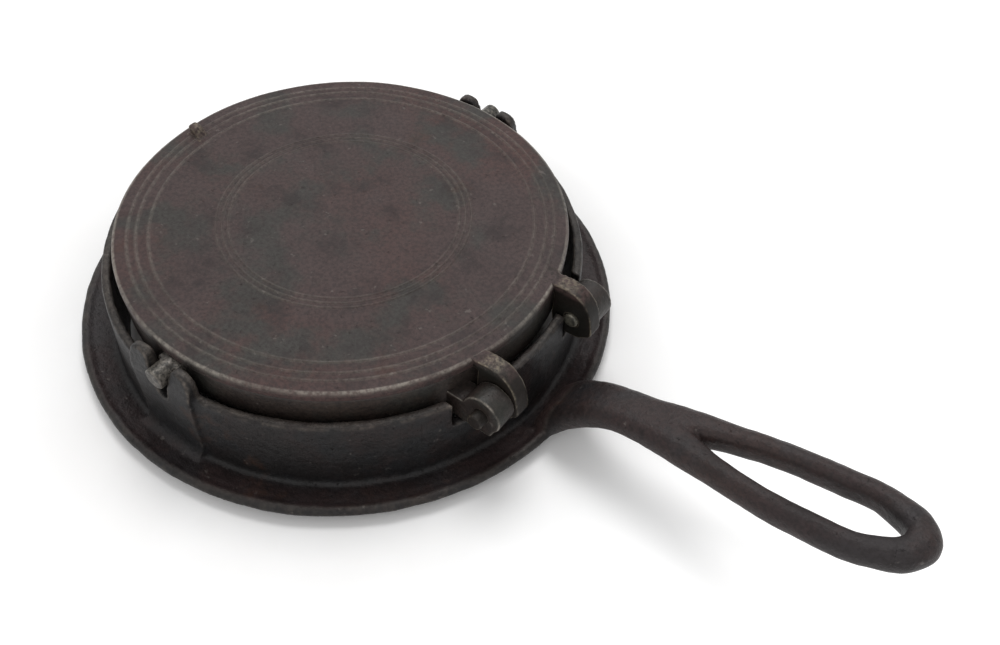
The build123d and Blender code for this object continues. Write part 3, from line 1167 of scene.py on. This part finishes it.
    def casting(self) -> Object:
        """Make the whole base in one casting, and keep its underside level with the stove."""
        made = piece("base_casting", self.ring())
        cut(made, joined([self.slot_cutter(), self.notches()]))
        whole = bmesh.new()
        whole.from_mesh(made.data)
        bmesh.ops.scale(whole, vec=(1 / MM, 1 / MM, 1 / MM), verts=whole.verts)
        bpy.data.objects.remove(made)
        bead = spun(circle(self.bead_middle, self.bead_height, self.bead_radius, 16), self.sides)
        made = piece("base_casting", joined([whole, bead, self.forks(), self.handle()]))
        cast(made, grain=0.85, rounds=3, keep=0.5)
        roughened(made, self.skin)
        for vert in made.data.vertices:
            vert.co.z = max(vert.co.z, 0.0)
        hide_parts("ring_base")
        return made


# Scene

@dataclass(frozen=True)
class Lamp:
    """A soft square lamp, with its place and size in metres."""

    name: str
    place: Triple
    size: float
    watts: float


@dataclass
class Studio:
    """The pale table, the lamps and the camera."""

    camera_place: Triple = (0.2246, -0.2121, 0.3349)
    camera_heading: float = 33.78
    camera_down: float = 49.04
    camera_roll: float = 3.73
    focal_pixels: float = 966.8
    image_width: float = 1000.0
    sensor: float = 36.0
    table_size: float = 6.0
    # The table glows for camera and reflection rays only, and not under or near the iron: the glow rises from
    # glow_starts to glow_full millimetres out. The floor round the iron is thus painted darker than farther
    # out, a painted shade, while farther shadows are washed out by painted light.
    table_glow: float = 0.35
    glow_starts: float = 105.0
    glow_full: float = 220.0
    # Inner and outer radius, in millimetres, of the painted shadow under the iron
    painted_shadow_inner: float = 97.0
    painted_shadow_outer: float = 102.0
    daylight: float = 0.55
    aim: Triple = (0.05, 0, 0.03)
    lamps: tuple[Lamp, ...] = (
        Lamp("key", (-0.30, 0.50, 1.45), 0.75, 11.0),
        Lamp("fill", (0.35, -1.05, 0.95), 1.2, 3.5),
    )

    def camera(self) -> None:
        """Place the camera where the photograph was taken from."""
        data = bpy.data.cameras.new("camera")
        data.sensor_width = self.sensor
        data.lens = self.focal_pixels / self.image_width * self.sensor
        data.clip_start = 0.01
        made = shown("camera", data)
        turn = Matrix.Rotation(math.radians(self.camera_heading), 4, "Z")
        tilt = Matrix.Rotation(math.radians(90 - self.camera_down), 4, "X")
        roll = Matrix.Rotation(math.radians(self.camera_roll), 4, "Z")
        made.matrix_world = Matrix.Translation(self.camera_place) @ turn @ tilt @ roll
        bpy.context.scene.camera = made

    def seen(self, nodes: Nodes) -> Socket:
        """Return one for what the camera sees, straight or in a reflection, and zero for plain light."""
        path = nodes.new("LightPath").outputs
        indirect = nodes.math("MAXIMUM", path["Is Glossy Ray"], path["Is Transmission Ray"])
        return nodes.math("MAXIMUM", path["Is Camera Ray"], indirect)

    def table(self) -> None:
        """Make the pale painted table, with a painted shadow under the iron and a camera-only glow that fades
        out near it.
        """
        mesh = bmesh.new()
        bmesh.ops.create_grid(mesh, x_segments=1, y_segments=1, size=self.table_size / 2 / MM)
        made = piece("table", mesh)
        paint = bpy.data.materials.new("table_paint")
        paint.use_nodes = True
        nodes = Nodes(paint.node_tree)
        shader = paint.node_tree.nodes["Principled BSDF"]
        place = nodes.new("TexCoord").outputs["Object"]
        shade = nodes.mottle(place, PAINT_CLOUDS)
        colour = nodes.mix(shade, (0.93, 0.925, 0.92, 1), (0.97, 0.97, 0.97, 1))
        # A dark disc under the iron's wall: a painted shadow in the table's colour
        painted_shadow = nodes.band(nodes.radius(place), self.painted_shadow_outer, self.painted_shadow_inner, 0.75)
        nodes.link(nodes.mix(painted_shadow, colour, (0.16, 0.14, 0.13, 1)), shader.inputs["Base Color"])
        shader.inputs["Roughness"].default_value = 0.5
        shader.inputs["Specular IOR Level"].default_value = 0.2
        # Camera-only glow that fades out near the iron: painted shade round the iron and painted light
        # farther out
        beyond = nodes.band(nodes.radius(place), self.glow_starts, self.glow_full, self.table_glow)
        shader.inputs["Emission Color"].default_value = (1, 1, 1, 1)
        nodes.link(nodes.times(self.seen(nodes), beyond), shader.inputs["Emission Strength"])
        made.data.materials.append(paint)

    def light(self, lamp: Lamp) -> None:
        """Add a lamp that points at the iron."""
        data = bpy.data.lights.new(lamp.name, "AREA")
        data.shape = "SQUARE"
        data.size = lamp.size
        data.energy = lamp.watts
        made = shown(lamp.name, data)
        made.location = lamp.place
        made.rotation_euler = (Vector(self.aim) - Vector(lamp.place)).to_track_quat("-Z", "Y").to_euler()

    def world(self) -> None:
        """Surround the scene with pale light."""
        world = bpy.data.worlds.new("studio")
        bpy.context.scene.world = world
        world.use_nodes = True
        nodes = Nodes(world.node_tree)
        back = world.node_tree.nodes["Background"]
        back.inputs["Color"].default_value = (1, 1, 1, 1)
        white = nodes.times(self.seen(nodes), 1 - self.daylight)
        nodes.link(nodes.math("ADD", self.daylight, white), back.inputs["Strength"])

    def build(self) -> None:
        """Make the whole studio."""
        self.camera()
        self.table()
        for lamp in self.lamps:
            self.light(lamp)
        self.world()
        bpy.context.scene.view_settings.view_transform = "Standard"


def dress(pieces: list[Object], body: Body, slot: Slot, material: Material) -> None:
    """Give pieces their body and finish, and report them."""
    for made in pieces:
        made.data.materials.clear()
        made.data.materials.append(material)
        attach(made, body.value)
        LOG.info("%s rides on %s with %d faces", made.name, body.value, len(made.data.polygons))


def main() -> None:
    """Build the waffle iron and its studio."""
    logging.basicConfig(level=logging.INFO, format="%(relativeCreated)d ms: %(message)s")
    groups = {"grain": grain_group(), "wear": wear_group(), "patina": patina_group()}
    hinge, studs = Hinge(), Studs()
    Studio().build()
    irons = {finish: finish.material(groups) for finish in FINISHES}
    pan, lid = Pan(hinge), Lid(hinge)
    for finish, body, slot, pieces in (
        (BASE_IRON, Body.BASE, Slot.BASE, [Base(hinge).casting()]),
        (PAN_IRON, Body.LOWER, Slot.LOWER, [pan.bowl()]),
        (STUD_IRON, Body.LOWER, Slot.LOWER, [piece("pan_studs", studs.grid(pan.floor, upward=True))]),
        (KNUCKLE_IRON, Body.LOWER, Slot.LOWER, [pan.knuckles()]),
        (TRUNNION_IRON, Body.LOWER, Slot.LOWER, [pan.trunnions()]),
        (PIN_IRON, Body.LOWER, Slot.PIN, hinge.pins()),
        (LID_IRON, Body.UPPER, Slot.UPPER, [lid.disc()]),
        (STUD_IRON, Body.UPPER, Slot.UPPER, [piece("lid_studs", studs.grid(lid.ceiling, upward=False))]),
        (ARM_IRON, Body.UPPER, Slot.UPPER, [lid.arms(), lid.lug()]),
    ):
        dress(pieces, body, slot, irons[finish])
    hidden = {"ring_base": BASE_IRON, "lower_plate": PAN_IRON, "upper_plate": LID_IRON}
    for name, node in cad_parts.items():
        node.data.materials.clear()
        node.data.materials.append(irons[hidden.get(name, PIN_IRON)])
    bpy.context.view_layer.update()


if __name__ == "__main__":
    main()
